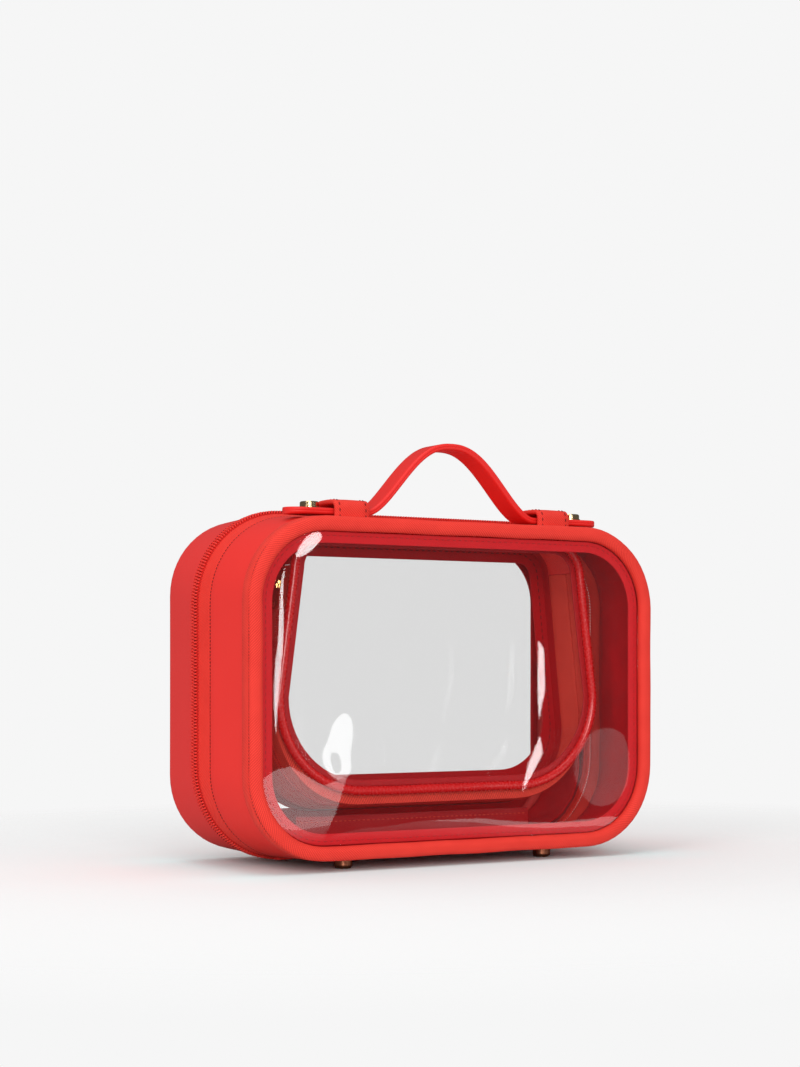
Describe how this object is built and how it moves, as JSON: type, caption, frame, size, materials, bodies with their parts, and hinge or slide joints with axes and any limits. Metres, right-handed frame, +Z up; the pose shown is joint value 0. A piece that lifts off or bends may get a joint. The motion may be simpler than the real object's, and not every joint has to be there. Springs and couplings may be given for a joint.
{
  "type": "makeup train case",
  "caption": "Two-window train case that opens in halves round a coil zip, with a strap handle, domed feet and a clear zipped pouch hung inside.",
  "frame": {"origin": "on the table, under the middle of the case's footprint", "axes": "+X to the right along the case's width, +Y from the clear front to the back, +Z up"},
  "size_m": [0.2312, 0.092, 0.1977],
  "materials": {
    "clear_film": "clear flexible PVC film, glossy",
    "red_twill": "fine twill-embossed red tape with lockstitch",
    "red_leathercloth": "fine-grained red leathercloth, satin",
    "red_lining": "dark red coated lining",
    "red_gloss_piping": "smooth glossy red piping",
    "board": "hidden stiffening board",
    "red_tape": "woven zip tape",
    "red_coil": "nylon coil zip",
    "copper": "polished rose-gold plating",
    "pale_brass": "polished pale gold plating"
  },
  "bodies": {
    "front_half": {"front_window": "clear_film", "front_roll": "red_twill", "front_flange": "red_lining", "trim_strip": "red_twill", "front_gusset": "red_leathercloth", "front_board": "board", "front_lining": "red_lining", "front_zip_tape": "red_tape", "front_zip_coil": "red_coil", "front_hinge_strip": "red_leathercloth", "hinge_fin": "red_lining", "zip_end_tabs": "red_leathercloth", "keeper_left": "red_twill", "keeper_right": "red_twill", "front_feet": "copper", "front_foot_washers": "pale_brass", "pouch_hanger": "red_lining"},
    "rear_half": {"rear_window": "clear_film", "rear_shell": "red_leathercloth", "rear_flange": "red_lining", "rear_board": "board", "rear_lining": "red_lining", "rear_zip_tape": "red_tape", "rear_zip_coil": "red_coil", "rear_hinge_strip": "red_leathercloth", "rear_feet": "copper", "rear_foot_washers": "pale_brass"},
    "handle_crown": {"handle_crown": "red_leathercloth", "handle_leg_left": "red_leathercloth", "handle_leg_right": "red_leathercloth"},
    "handle_end_left": {"handle_tab_left": "red_leathercloth", "handle_stud_left": "pale_brass"},
    "handle_end_right": {"handle_tab_right": "red_leathercloth", "handle_stud_right": "pale_brass"},
    "upper_slider": {"upper_slider": "pale_brass"},
    "upper_pull": {"upper_pull": "pale_brass"},
    "lower_slider": {"lower_slider": "pale_brass"},
    "lower_pull": {"lower_pull": "pale_brass"},
    "pouch": {"pouch_back_rim": "red_lining", "pouch_back_band": "red_lining", "pouch_back_film": "clear_film", "pouch_back_tape": "red_tape", "pouch_back_coil": "red_coil", "pouch_top_gusset": "red_leathercloth"},
    "pouch_lid": {"pouch_front_tube": "red_gloss_piping", "pouch_front_band": "red_lining", "pouch_front_film": "clear_film", "pouch_front_tape": "red_tape", "pouch_front_coil": "red_coil"},
    "pouch_slider": {"pouch_slider": "pale_brass"},
    "pouch_pull": {"pouch_pull": "pale_brass"}
  },
  "joints": [
    {"name": "case_opening", "type": "hinge", "parent": "front_half", "child": "rear_half", "pos_m": [0, 0.008, 0.0014], "axis": [-1, 0, 0], "range_deg": [0, 175]},
    {"name": "handle_drop", "type": "slide", "parent": "front_half", "child": "handle_crown", "axis": [0, 0, -1], "range_m": [0, 0.025], "deforming": ["handle_leg_left", "handle_leg_right"]},
    {"name": "handle_spread_left", "type": "slide", "parent": "handle_crown", "child": "handle_end_left", "axis": [-0.3872, 0, 0.922], "range_m": [0, 0.02712]},
    {"name": "handle_spread_right", "type": "slide", "parent": "handle_crown", "child": "handle_end_right", "axis": [0.3872, 0, 0.922], "range_m": [0, 0.02712]},
    {"name": "upper_slider_travel", "type": "slide", "parent": "front_half", "child": "upper_slider", "axis": [0, 0, 1], "range_m": [0, 0.024]},
    {"name": "upper_pull_swing", "type": "hinge", "parent": "upper_slider", "child": "upper_pull", "pos_m": [0.11625, 0.008, 0.093], "axis": [0, -1, 0], "range_deg": [0, 150]},
    {"name": "lower_slider_travel", "type": "slide", "parent": "front_half", "child": "lower_slider", "axis": [0, 0, -1], "range_m": [0, 0.024]},
    {"name": "lower_pull_swing", "type": "hinge", "parent": "lower_slider", "child": "lower_pull", "pos_m": [0.11625, 0.008, 0.0766], "axis": [0, -1, 0], "range_deg": [0, 150]},
    {"name": "pouch_swing", "type": "hinge", "parent": "front_half", "child": "pouch", "pos_m": [0, -0.0055, 0.1542], "axis": [1, 0, 0], "range_deg": [-4, 6]},
    {"name": "pouch_lid_opening", "type": "hinge", "parent": "pouch", "child": "pouch_lid", "pos_m": [0, -0.011, 0.1542], "axis": [-1, 0, 0], "range_deg": [0, 3.5]},
    {"name": "pouch_slider_travel", "type": "slide", "parent": "pouch", "child": "pouch_slider", "axis": [-0.1142, 0, -0.9935], "range_m": [0, 0.045]},
    {"name": "pouch_pull_swing", "type": "hinge", "parent": "pouch_slider", "child": "pouch_pull", "pos_m": [-0.08043, -0.011, 0.13172], "axis": [0, 1, 0], "range_deg": [0, 60]}
  ],
  "couplings": [
    {"joint": "handle_spread_left", "follows": "handle_drop", "ratio": 1.0846},
    {"joint": "handle_spread_right", "follows": "handle_drop", "ratio": 1.0846}
  ]
}
